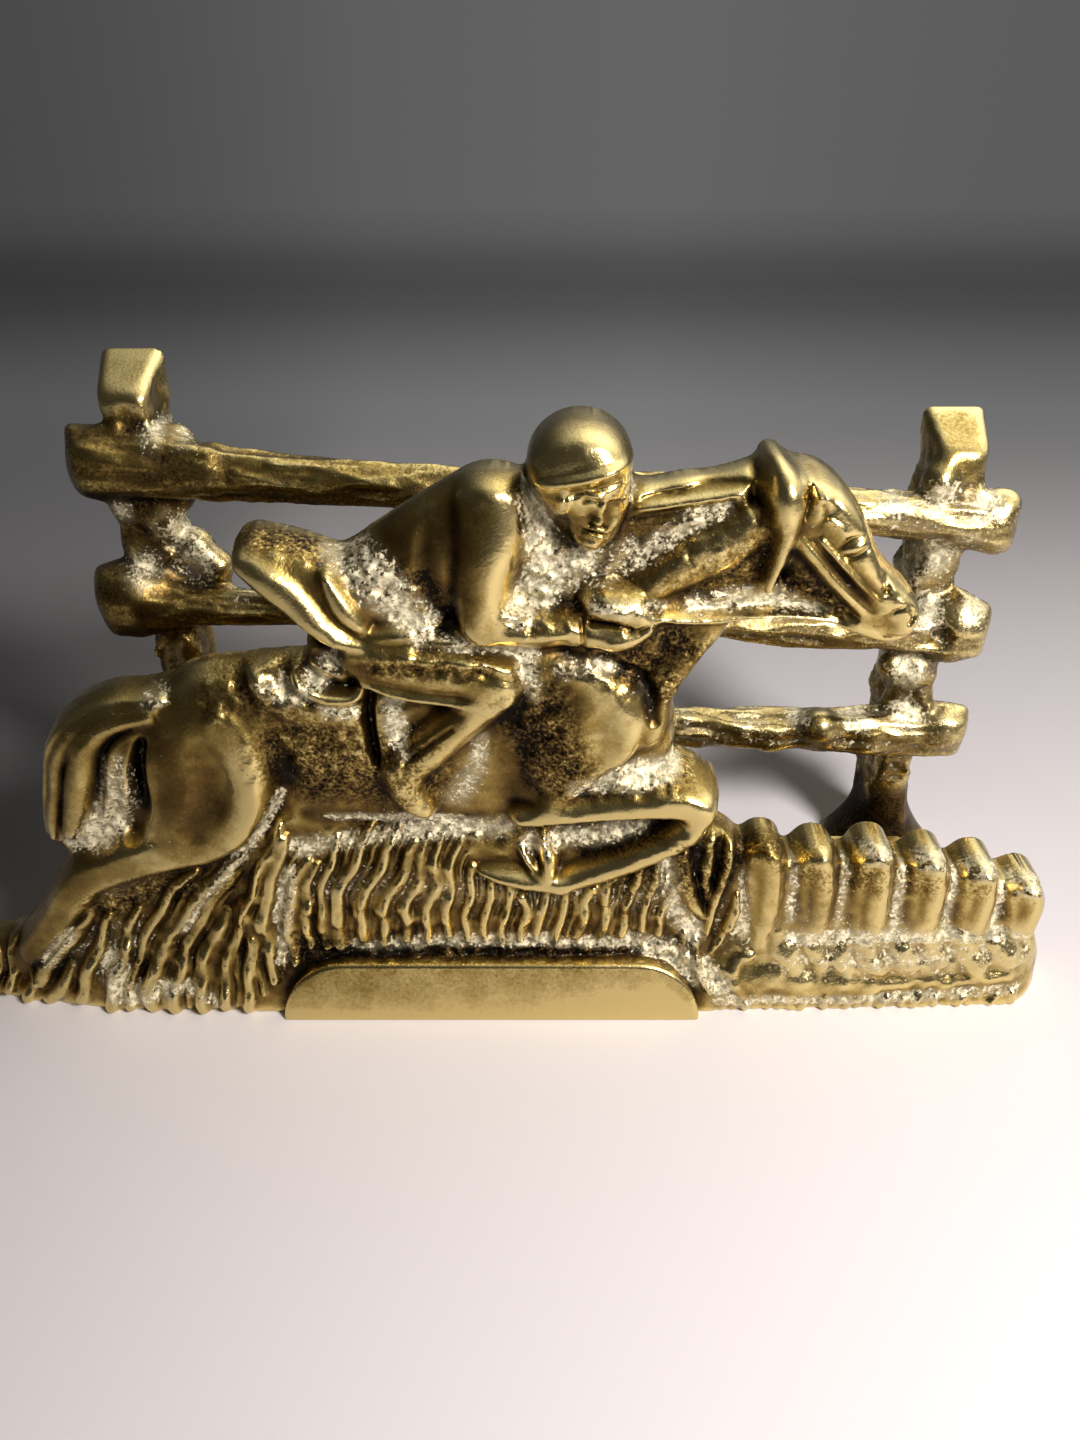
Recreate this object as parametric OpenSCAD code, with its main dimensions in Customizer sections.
// Letter rack in cast brass: a racehorse and rider in relief stand in front of a rustic rail fence.
// Letters stand on the floor plate, in the slot between the two castings. Millimetres, +Z up.
// The front looks along -Y, and the origin is under the middle of the whole rack.

/* [Front casting] */
// Width of the foot
foot_w = 164; // [150:1:190]
// Depth of the foot at the plaque, from the flat back of the casting
foot_d = 12; // [10:0.5:16]
// Height of the ground bank that the figures stand on
ground_h = 12; // [9:0.5:16]
// Thickness of the ground bank along its top
ground_t = 6; // [4:0.5:8]
// Height of the figures, from the foot to the top of the cap
figure_h = 89; // [80:1:110]
// Thickness of the figures at their outer edge
edge_t = 3.5; // [2.5:0.1:5]
// Thickness of the figures at their fullest
relief_t = 10; // [7:0.1:12]

/* [Plaque] */
// Width of the plaque along the foot
plaque_w = 62; // [40:1:80]
// Height of the plaque, which is also the radius of its round ends
plaque_h = 9.5; // [7:0.5:12]
// Thickness of the plaque
plaque_t = 4; // [3:0.5:6]
// Middle of the plaque, to the left of the middle of the foot
plaque_left = 2; // [0:0.5:6]
// Backward lean of the plaque's face, in degrees
plaque_lean = 12; // [0:1:20]

/* [Grass and pales] */
// Number of upright grass blades under the horse
grass_n = 17; // [8:1:24]
// Height of the tips of the upright grass
grass_h = 30; // [24:0.5:34]
// Number of leaning grass blades under the hind leg
fan_n = 12; // [4:1:16]
// Half width of a grass blade at its root
blade_r = 1.2; // [0.6:0.1:1.4]
// Number of earth lumps along the foot of the paling
lump_n = 7; // [3:1:10]
// Number of pales in the receding paling
pale_n = 6; // [3:1:6]
// Distance from one pale to the next
pale_pitch = 7.6; // [6.6:0.1:7.8]
// Width of a pale
pale_w = 6; // [4:0.1:6.4]
// Thickness of a pale, from the flat back of the casting
pale_t = 8; // [5:0.1:9]
// Height of the top of the nearest pale
pale_near_h = 29.5; // [26:0.5:36]
// Height of the top of the farthest pale
pale_far_h = 22.5; // [20:0.5:26]
// Fall of a pale's slanted top, from back to front
pale_fall = 1; // [0.5:0.1:4]

/* [Rear fence] */
// Clear width of the letter slot
slot_w = 25; // [15:0.5:40]
// Length of the rails
fence_l = 141; // [125:1:150]
// Middle of the fence, to the right of the middle of the foot
fence_right = 6.5; // [0:0.5:10]
// Distance between the middles of the two posts
post_span = 120; // [110:1:126]
// Width of a post at its back
post_w = 9.5; // [8:0.5:12]
// Width of a post at its front
post_face_w = 7; // [5:0.5:8]
// Outward lean of a post over its height
post_lean = 1.5; // [0:0.1:3]
// Depth of a post
post_d = 9; // [8:0.5:12]
// Step from the front of the rails back to the front of the posts
post_step = 4; // [2:0.5:5]
// Height of the left post at its back
left_post_h = 86.5; // [82:0.5:100]
// Height of the right post at its back
right_post_h = 78; // [74:0.5:100]
// Fall of a post's slanted top, from back to front
post_fall = 4.5; // [2:0.5:7]
// Height of the flared foot of a post
flare_h = 15; // [10:1:18]
// Half width of the flared foot where it stands
flare_r = 10; // [8:0.5:12]
// Height of the top rail at its left end
top_rail_left = 72; // [68:0.5:74]
// Height of the top rail at its right end
top_rail_right = 62.5; // [60:0.5:66]
// Height of the middle rail at its left end
mid_rail_left = 49.8; // [46:0.2:54]
// Height of the middle rail at its right end
mid_rail_right = 44.2; // [42:0.2:48]
// Height of the bottom rail at its left end
low_rail_left = 28; // [25:0.2:31]
// Height of the bottom rail at its right end
low_rail_right = 25.4; // [23:0.2:29]
// Half thickness of a rail at its left end
rail_left_r = 4.6; // [3.5:0.1:5]
// Half thickness of a rail at its slimmest
rail_waist_r = 3.2; // [2.5:0.1:4]
// Half thickness of a rail at its right end
rail_right_r = 3.9; // [3:0.1:4.6]
// Slant of the sawn rail ends, in degrees
rail_cut = 25; // [0:1:35]

/* [Floor and screws] */
// Length of the floor plate
floor_l = 126; // [118:1:134]
// Thickness of the floor plate
floor_t = 2; // [1.6:0.1:3]
// Chamfer on the corners of the floor plate
floor_chamfer = 2; // [0.5:0.5:3]
// Height of the lugs that carry the floor plate
lug_h = 4.5; // [3:0.1:7]
// Reach of a lug into the slot
lug_d = 11; // [8:0.1:12]
// Width of a lug
lug_w = 12; // [9:0.5:16]
// Distance between the two front lugs
lug_span = 90; // [70:1:100]
// Half thickness of a screw's shank
screw_r = 1.5; // [1:0.1:2]
// Half width of a countersunk screw head
head_r = 2.8; // [2.4:0.1:3.4]
// Width of the driver slot in a screw head
driver_w = 0.7; // [0.5:0.1:1]
// Depth of the driver slot in a screw head
driver_d = 0.6; // [0.4:0.1:0.8]
// Gap between a screw and its hole
screw_fit = 0.1; // [0.05:0.05:0.3]
// Gap between the floor plate and each casting
floor_fit = 0.25; // [0.1:0.05:0.5]

/* [Hidden] */

// Depths, from the front of the plaque to the back of the posts
fence_d = post_step + post_d;
rack_d = foot_d + slot_w + fence_d;
back_y = foot_d - rack_d / 2;
fence_y = back_y + slot_w;
rail_y = fence_y + rail_left_r;
post_y = fence_y + post_step;
fence_back_y = fence_y + fence_d;

// Places along the foot
post_x = [fence_right - post_span / 2, fence_right + post_span / 2];
post_h = [left_post_h, right_post_h];
post_out = [-1, 1];
lug_x = [fence_right - lug_span / 2, fence_right + lug_span / 2];
front_screw_y = back_y + lug_d / 2;
rear_screw_y = fence_y - lug_d / 2;

// Heights of the rails at their left and right ends
rails = [
    [top_rail_left, top_rail_right],
    [mid_rail_left, mid_rail_right],
    [low_rail_left, low_rail_right]
];
rail_steps = 6;
rail_sides = 16;
flare_steps = 4;
flare_sides = 24;

// Screws
floor_top = lug_h + floor_t;
screw_end = 0.6;
hole_sides = 24;
round_sides = 48;
hole_r = (screw_r + screw_fit) / cos(180 / hole_sides);
sink = head_r - screw_r;

// How far solids run into each other, or past a face that cuts them
overlap = 1;

// Figures, drawn 89 high on the flat back: each stud is [along, up, half width, fullness], where 1 is full
figure_scale = figure_h / 89;
stud_sides = 14;
horse_barrel = [
    [-36, 44.6, 11.4, 0.6], [-24, 45.2, 12.2, 0.63],
    [-10, 44.8, 11.6, 0.6], [12, 46, 11.6, 0.6]
];
horse_haunch = [[-43, 40, 12.4, 0.88], [-37, 45, 10.4, 0.75]];
horse_stifle = [
    [-36, 49.4, 2.4, 0.78], [-33.6, 43, 2.9, 0.92],
    [-33.8, 37, 3, 0.94], [-37.8, 31.4, 2.8, 0.9]
];
horse_hind_leg = [
    [-40, 35, 9, 0.85], [-46, 30.5, 6.6, 0.8], [-53, 26.5, 4.4, 0.76], [-58.6, 23.6, 3.9, 0.76],
    [-62.4, 19.4, 3.5, 0.72], [-66.2, 14.4, 3.1, 0.66], [-72.6, 6.6, 2.9, 0.5]
];
horse_tail = [
    [-45, 50.8, 2, 0.35], [-51, 49.2, 3.2, 0.5], [-56, 44.6, 4.8, 0.62],
    [-58, 38.5, 4.8, 0.66], [-60, 32.4, 4.2, 0.55], [-62, 29.8, 2.4, 0.4]
];
tail_strand = [
    [-46, 49.4, 0.9, 0.63], [-54.4, 44.8, 1.3, 0.82],
    [-57.2, 36.2, 1.4, 0.83], [-59, 31.2, 1, 0.63]
];
shoulder_blade = [[5.4, 55, 4, 0.72], [9.5, 49.6, 6.2, 0.87], [7.6, 43, 4.6, 0.85]];
shoulder_edge = [
    [7.6, 57, 2, 0.66], [12.4, 55, 2.8, 0.82], [15.8, 51.6, 3.2, 0.91],
    [16.2, 47.6, 2.9, 0.92], [11.6, 42, 2, 0.86], [4.8, 34.6, 1.4, 0.83]
];
horse_neck = [[12, 53, 9.4, 0.6], [19, 62, 7.8, 0.57], [25, 70, 8.4, 0.54], [31.5, 76, 5.8, 0.57]];
neck_crest = [[18.4, 68.4, 2.2, 0.66], [24, 72, 2.8, 0.74], [30.6, 76.2, 2.8, 0.75]];
neck_front = [[26.4, 63, 2.6, 0.57], [22.4, 56, 3.2, 0.63], [19.4, 47.6, 2.6, 0.66]];
horse_mane = [[14.5, 77.6, 3, 0.45], [22, 78, 2.7, 0.6], [30, 80.4, 2.3, 0.62]];
horse_head = [
    [35.2, 78, 4.8, 0.75], [38, 74.2, 5.4, 0.9], [41.6, 70.2, 5, 0.92],
    [45.2, 67, 4.6, 0.92], [48.6, 65.8, 3.2, 0.92]
];
horse_ear = [
    [32.2, 84, 1.2, 0.72], [33.2, 82, 2.6, 1.1], [34.1, 78.9, 2.6, 1.18],
    [34.3, 75.4, 1.4, 1.04], [32.5, 68.4, 0.9, 0.8]
];
bridle_rein = [[19.4, 64.9, 0.8, 0.84], [34, 64.8, 0.8, 0.78], [47.4, 61.8, 0.8, 0.72]];
horse_foreleg = [[6, 38, 4.8, 0.66], [16, 38.4, 4.6, 0.72], [23, 37.8, 4.1, 0.82], [26.8, 36.4, 3.2, 0.86]];
foreleg_edge = [[2.6, 34.4, 1.8, 0.86], [12, 35.6, 2.3, 0.94], [24, 37, 2.8, 1], [27, 36.2, 2.8, 1]];
horse_shank = [
    [27.4, 34.6, 2.6, 0.97], [25.4, 31.4, 2.6, 0.94],
    [14, 25, 2.3, 0.88], [8.6, 22.8, 1.9, 0.85]
];
horse_hoof = [[-3.4, 24.4, 0.7, 0.66], [4, 23.2, 2, 0.88], [8, 22.6, 1.9, 0.86]];
horse_fetlock = [[5.6, 30.4, 0.9, 0.63], [6.4, 27.8, 1.5, 0.82], [6.4, 24.8, 1.3, 0.88]];
rider_torso = [[-0.5, 75, 7.4, 0.66], [-9, 70, 7.2, 0.63], [-17, 66, 6, 0.6]];
rider_seat = [[-29.4, 71.6, 3.1, 0.6], [-25, 69, 4.6, 0.7], [-19, 65.6, 5.4, 0.72]];
breeches_edge = [
    [-30.6, 71.4, 2, 0.72], [-25.2, 67.2, 2.4, 0.89],
    [-20.2, 62, 1.8, 0.92], [-11, 60.8, 1.1, 0.83]
];
rider_thigh = [[-17.6, 58.4, 2.6, 0.85], [-12, 57.2, 3.4, 0.91], [-0.6, 55.6, 3.6, 1.05]];
rider_shin = [
    [0, 54.6, 3.2, 1.05], [-9, 46, 2.9, 1], [-13, 42.2, 2.9, 0.97],
    [-12.8, 39.2, 2.9, 0.95], [-10.4, 35.8, 1.8, 0.9]
];
rider_upper_arm = [
    [-0.6, 79.4, 4.2, 0.88], [-0.8, 74, 3.9, 1.03],
    [-1.4, 68.5, 3.4, 1.06], [-2.2, 64.4, 2.8, 1.03]
];
rider_forearm = [[-2, 63.2, 2.6, 1], [9.8, 62.5, 2.2, 1]];
rider_fist = [[12.4, 66.2, 2.3, 0.94], [18.4, 65.2, 1.4, 0.9]];
rider_fingers = [[12, 62.8, 2.2, 1], [18.2, 63.6, 1.5, 0.97]];
rider_collar = [[2.4, 81, 1.7, 0.82], [8.4, 74.8, 1.4, 0.72]];
rider_head = [[10.6, 78.6, 4.6, 0.85], [9.8, 83, 5.8, 1.12]];
rider_visor = [[6, 81.4, 0.9, 1], [11, 81.4, 1.4, 1.2], [15.4, 82.2, 1.2, 1.1]];
saddle_cantle = [[-22.8, 59.4, 2, 0.5], [-18.6, 58.4, 2.4, 0.6], [-20, 56.8, 2, 0.72]];
saddle_roll = [
    [-26, 57.8, 0.9, 0.7], [-25.2, 55.2, 1.3, 0.82],
    [-22, 53.5, 1.4, 0.86], [-17.4, 54.8, 0.8, 0.75]
];
saddle_cloth = [
    [-31, 57, 2, 0.63], [-29.6, 53.4, 2.4, 0.69],
    [-25, 51.2, 2.2, 0.72], [-19.6, 50.6, 1.8, 0.69]
];
reed_leaf = [[25.8, 31, 1, 0.5], [25.4, 26, 1.6, 0.62], [26.8, 20, 1.5, 0.64], [29, 16, 0.8, 0.55]];
reed_stem = [[31.2, 34, 0.9, 0.5], [32, 30, 1, 0.62], [31.6, 24.4, 1.1, 0.66], [29.8, 13, 0.8, 0.6]];
web_chest = [[1, 68, 8, 0.48], [13, 71, 7, 0.42], [23, 74, 7, 0.36]];
web_throat = [[28, 67.6, 3.8, 0.36], [42, 66.4, 2.6, 0.42]];
web_tail = [[-51.5, 43, 3, 0.2], [-54, 34, 5, 0.2], [-59.5, 28, 3.6, 0.2]];
web_saddle = [[-19, 58.6, 2.6, 0.48], [-8, 58, 4, 0.54], [5, 58.6, 4, 0.54]];
web_belly = [[-34, 31, 6, 0.26], [23, 31, 6, 0.26]];
web_grass = [
    [-60, 12, 7, 0.32], [-46, 19, 11, 0.4], [-18, 20, 12, 0.4],
    [8, 21, 12, 0.4], [25, 21, 11, 0.4]
];
FIGURES = [
    horse_barrel, horse_haunch, horse_stifle, horse_hind_leg, horse_tail, tail_strand, shoulder_blade,
    shoulder_edge, horse_neck, neck_crest, neck_front, horse_mane, horse_head, horse_ear, bridle_rein,
    horse_foreleg, foreleg_edge, horse_shank, horse_hoof, horse_fetlock, rider_torso, rider_seat,
    breeches_edge, rider_thigh, rider_shin, rider_upper_arm, rider_forearm, rider_fist, rider_fingers,
    rider_collar, rider_head, rider_visor, saddle_cantle, saddle_roll, saddle_cloth, reed_leaf, reed_stem,
    web_chest, web_throat, web_tail, web_saddle, web_belly, web_grass
];

// Ground bank: each section is [share of the half width, share of the foot depth, share of the height]
GROUND = [
    [-1, 0.35, 0.4], [-0.96, 0.55, 0.85], [-0.75, 0.8, 1], [-0.42, 0.88, 1], [0.4, 0.88, 1],
    [0.72, 0.84, 0.95], [0.95, 0.6, 0.85], [1, 0.35, 0.4]
];
toe_share = 0.25;

// Domed crown of a stud: each point is [share of the half width, share of the rise]
CROWN = [[1, 0], [0.8, 0.6], [0.4, 0.92], [0, 1]];

// Grass: fullness of a blade at its root and at its tip, then the places of the blades
blade_sides = 6;
blade_root_full = 0.68;
blade_tip_full = 0.5;
grass_left = -26;
grass_right = 23;
grass_root = 11;
grass_lean = [6, 0.5];
grass_cut = 6;
fan_left = -69;
fan_right = -29;
fan_root = 2;
fan_lean = [11, 2];
fan_rise = [13, 27];

// Earth lumps
lump_left = 41;
lump_right = 68;
lump_top = 12;
lump_foot = 7;
lump_lean = 2.4;
lump_full = 0.85;

// Paling
pale_x = 37.4;
pale_foot = 8;
pale_dip = 3;
pale_corner = 1.2;
pale_face_share = 0.75;

function mix(a, b, t) = a + (b - a) * t;
function share(i, n) = n > 1 ? i / (n - 1) : 0.5;
function fullness(f) = mix(edge_t, relief_t, f);

// A closed solid through rings that all have the same number of points
module loft(rings) {
    n = len(rings[0]);
    last = len(rings) - 1;
    sides = [
        for (i = [1 : last], j = [0 : n - 1])
            let (k = (j + 1) % n, a = (i - 1) * n, b = i * n)
                each [[a + j, b + j, b + k], [a + j, b + k, a + k]]
    ];
    polyhedron(
        points = [for (ring = rings) each ring],
        faces = concat(
            sides,
            [[for (j = [0 : n - 1]) j]],
            [[for (j = [n - 1 : -1 : 0]) last * n + j]]
        )
    );
}

// Stands a relief up: along is X, up becomes Z, and forward of the flat back becomes -Y
module standing() {
    translate([0, back_y, 0])
        rotate([90, 0, 0])
            children();
}

// A stud of the relief with a straight side and a domed crown, from behind the flat back
module dome(r, crown, sides) {
    rise = crown - edge_t;
    rotate_extrude($fn = sides)
        polygon(concat(
            [[0, -overlap], [r, -overlap]],
            [for (c = CROWN) [c[0] * r, edge_t + c[1] * rise]]
        ));
}

module stud(p) {
    translate([p[0] * figure_scale, p[1] * figure_scale, 0])
        dome(p[2] * figure_scale, fullness(p[3]), stud_sides);
}

module limb(points) {
    for (i = [1 : len(points) - 1])
        hull() {
            stud(points[i - 1]);
            stud(points[i]);
        }
}

function ground_ring(x, d, h) = [
    [x, -overlap, -overlap], [x, h, -overlap], [x, h, min(ground_t, d)],
    [x, toe_share * h, d], [x, -overlap, d]
];

module ground() {
    loft([for (s = GROUND) ground_ring(s[0] * foot_w / 2, s[1] * foot_d, s[2] * ground_h)]);
}

// A tapered blade of grass from its root to its tip
module blade(root, tip, root_full, tip_full) {
    hull() {
        translate(root)
            dome(blade_r, fullness(root_full), blade_sides);
        translate(tip)
            dome(blade_r / 2, fullness(tip_full), blade_sides);
    }
}

// A row of blades that lean less and reach a changing height from its first blade to its last
module blade_row(n, x, root, lean, tip) {
    for (i = [0 : n - 1]) {
        t = share(i, n);
        foot = mix(x[0], x[1], t);
        end = foot + mix(lean[0], lean[1], t);
        blade([foot, root], [end, mix(tip[0], tip[1], t)], blade_root_full, blade_tip_full);
    }
}

module grass() {
    blade_row(grass_n, [grass_left, grass_right], grass_root, grass_lean, [grass_h, grass_h - grass_cut]);
    blade_row(fan_n, [fan_left, fan_right], fan_root, fan_lean, [for (rise = fan_rise) fan_root + rise]);
}

module lumps() {
    for (i = [0 : lump_n - 1]) {
        x = mix(lump_left, lump_right, share(i, lump_n));
        blade([x + lump_lean, lump_foot], [x, lump_top], lump_full, blade_root_full);
    }
}

module pale_slab(t, w, h) {
    translate([0, 0, -overlap])
        linear_extrude(t + overlap)
            polygon([
                [-w / 2, pale_foot], [w / 2, pale_foot], [w / 2, h - pale_corner],
                [w / 2 - pale_corner, h], [pale_corner - w / 2, h], [-w / 2, h - pale_corner]
            ]);
}

// The receding paling, with a low web that joins the pales
module paling() {
    for (i = [0 : pale_n - 1]) {
        h = mix(pale_near_h, pale_far_h, share(i, pale_n));
        translate([pale_x + i * pale_pitch, 0, 0]) {
            hull() {
                pale_slab(edge_t / 2, pale_w, h);
                pale_slab(pale_t, pale_w * pale_face_share, h - pale_fall);
            }
        }
    }
    last_x = pale_x + (pale_n - 1) * pale_pitch;
    translate([0, 0, -overlap])
        linear_extrude(edge_t + overlap)
            polygon([
                [pale_x - pale_pitch, pale_foot], [last_x, pale_foot],
                [last_x, pale_far_h - pale_dip],
                [pale_x - pale_pitch, pale_near_h - pale_dip]
            ]);
}

// The smooth half-round plaque, leaning back from the front of the foot
module plaque() {
    translate([-plaque_left, 0, foot_d])
        rotate([-plaque_lean, 0, 0])
            translate([0, 0, -plaque_t])
                linear_extrude(plaque_t)
                    intersection() {
                        hull() {
                            for (side = [-1, 1])
                                translate([side * (plaque_w / 2 - plaque_h), 0])
                                    circle(plaque_h, $fn = round_sides);
                        }
                        translate([-plaque_w / 2, 0])
                            square([plaque_w, plaque_h]);
                    }
}

// A lug on the floor of the slot, with a tapped hole for the screw that holds the floor plate
module lug(x, y_from, y_to) {
    translate([x - lug_w / 2, y_from, 0])
        cube([lug_w, y_to - y_from, lug_h]);
}

module tapped_hole(x, y) {
    translate([x, y, -overlap])
        cylinder(r = hole_r, h = lug_h + 2 * overlap, $fn = hole_sides);
}

// Keeps what stands above the surface that the rack rests on, and in front of the given plane
module above_ground(y_max) {
    reach = foot_w + rack_d;
    intersection() {
        children();
        translate([-reach, y_max - 2 * reach, 0])
            cube([2 * reach, 2 * reach, 2 * reach]);
    }
}

module front_casting() {
    color("goldenrod")
        difference() {
            union() {
                above_ground(back_y)
                    standing() {
                        for (points = FIGURES)
                            limb(points);
                        ground();
                        grass();
                        lumps();
                        paling();
                        plaque();
                    }
                for (x = lug_x)
                    lug(x, back_y - overlap, back_y + lug_d);
            }
            for (x = lug_x)
                tapped_hole(x, front_screw_y);
        }
}

// Half thickness of a rail: fat at both ends and slim at its waist
function rail_r(t) = t < 0.5
    ? mix(rail_waist_r, rail_left_r, pow(1 - 2 * t, 2))
    : mix(rail_waist_r, rail_right_r, pow(2 * t - 1, 2));

// A ring of a rail at a share of its length, slanted where the rail is sawn off
function rail_ring(z, t) =
    let (
        x = fence_right + mix(-0.5, 0.5, t) * fence_l,
        lead = t == 0 ? -tan(rail_cut) : t == 1 ? tan(rail_cut) : 0,
        r = rail_r(t)
    )
    [
        for (i = [0 : rail_sides - 1])
            let (a = 360 * i / rail_sides)
                [x + lead * r * cos(a), rail_y + r * cos(a), mix(z[0], z[1], t) + r * sin(a)]
    ];

module rail(z) {
    loft([for (i = [0 : rail_steps]) rail_ring(z, i / rail_steps)]);
}

function post_ring(x, z_back, z_front) = [
    [x - post_face_w / 2, post_y, z_front], [x + post_face_w / 2, post_y, z_front],
    [x + post_w / 2, fence_back_y + overlap, z_back], [x - post_w / 2, fence_back_y + overlap, z_back]
];

function flare_ring(x, t) =
    let (
        spread = pow(1 - t, 2),
        half_w = mix(post_face_w / 2, flare_r, spread),
        half_d = mix(post_d / 2, post_step + post_d / 2, spread)
    )
    [
        for (i = [0 : flare_sides - 1])
            let (a = 360 * i / flare_sides)
                [x + half_w * cos(a), post_y + post_d / 2 + half_d * sin(a), mix(-overlap, flare_h, t)]
    ];

// A drafted post with a slanted top, leaning outwards and standing on a flared foot
module post(x, h, lean) {
    loft([post_ring(x, -overlap, -overlap), post_ring(x + lean, h, h - post_fall)]);
    loft([for (i = [0 : flare_steps]) flare_ring(x, i / flare_steps)]);
}

module rear_fence() {
    color("darkgoldenrod")
        difference() {
            above_ground(fence_back_y) {
                for (z = rails)
                    rail(z);
                for (i = [0, 1]) {
                    post(post_x[i], post_h[i], post_out[i] * post_lean);
                    lug(post_x[i], fence_y - lug_d, post_y + overlap);
                }
            }
            for (x = post_x)
                tapped_hole(x, rear_screw_y);
        }
}

// Clearance hole and countersink for one screw, down through the floor plate
module screw_hole(x, y) {
    translate([x, y, 0])
        rotate_extrude($fn = round_sides)
            polygon([
                [0, lug_h - overlap], [screw_r + screw_fit, lug_h - overlap],
                [screw_r + screw_fit, floor_top - sink], [head_r + screw_fit, floor_top],
                [head_r + screw_fit, floor_top + overlap], [0, floor_top + overlap]
            ]);
}

module floor_plate() {
    x0 = fence_right - floor_l / 2;
    x1 = fence_right + floor_l / 2;
    y0 = back_y + floor_fit;
    y1 = fence_y - floor_fit;
    c = floor_chamfer;
    color("peru")
        difference() {
            translate([0, 0, lug_h])
                linear_extrude(floor_t)
                    polygon([
                        [x0 + c, y0], [x1 - c, y0], [x1, y0 + c], [x1, y1 - c],
                        [x1 - c, y1], [x0 + c, y1], [x0, y1 - c], [x0, y0 + c]
                    ]);
            for (x = lug_x)
                screw_hole(x, front_screw_y);
            for (x = post_x)
                screw_hole(x, rear_screw_y);
        }
}

// A countersunk screw with a driver slot, flush with the floor of the slot
module screw(x, y) {
    translate([x, y, 0])
        difference() {
            rotate_extrude($fn = round_sides)
                polygon([
                    [0, screw_end], [screw_r, screw_end], [screw_r, floor_top - sink],
                    [head_r, floor_top], [0, floor_top]
                ]);
            translate([-head_r - overlap, -driver_w / 2, floor_top - driver_d])
                cube([2 * (head_r + overlap), driver_w, driver_d + overlap]);
        }
}

module front_screws() {
    color("khaki")
        for (x = lug_x)
            screw(x, front_screw_y);
}

module rear_screws() {
    color("khaki")
        for (x = post_x)
            screw(x, rear_screw_y);
}

front_casting();
rear_fence();
floor_plate();
front_screws();
rear_screws();
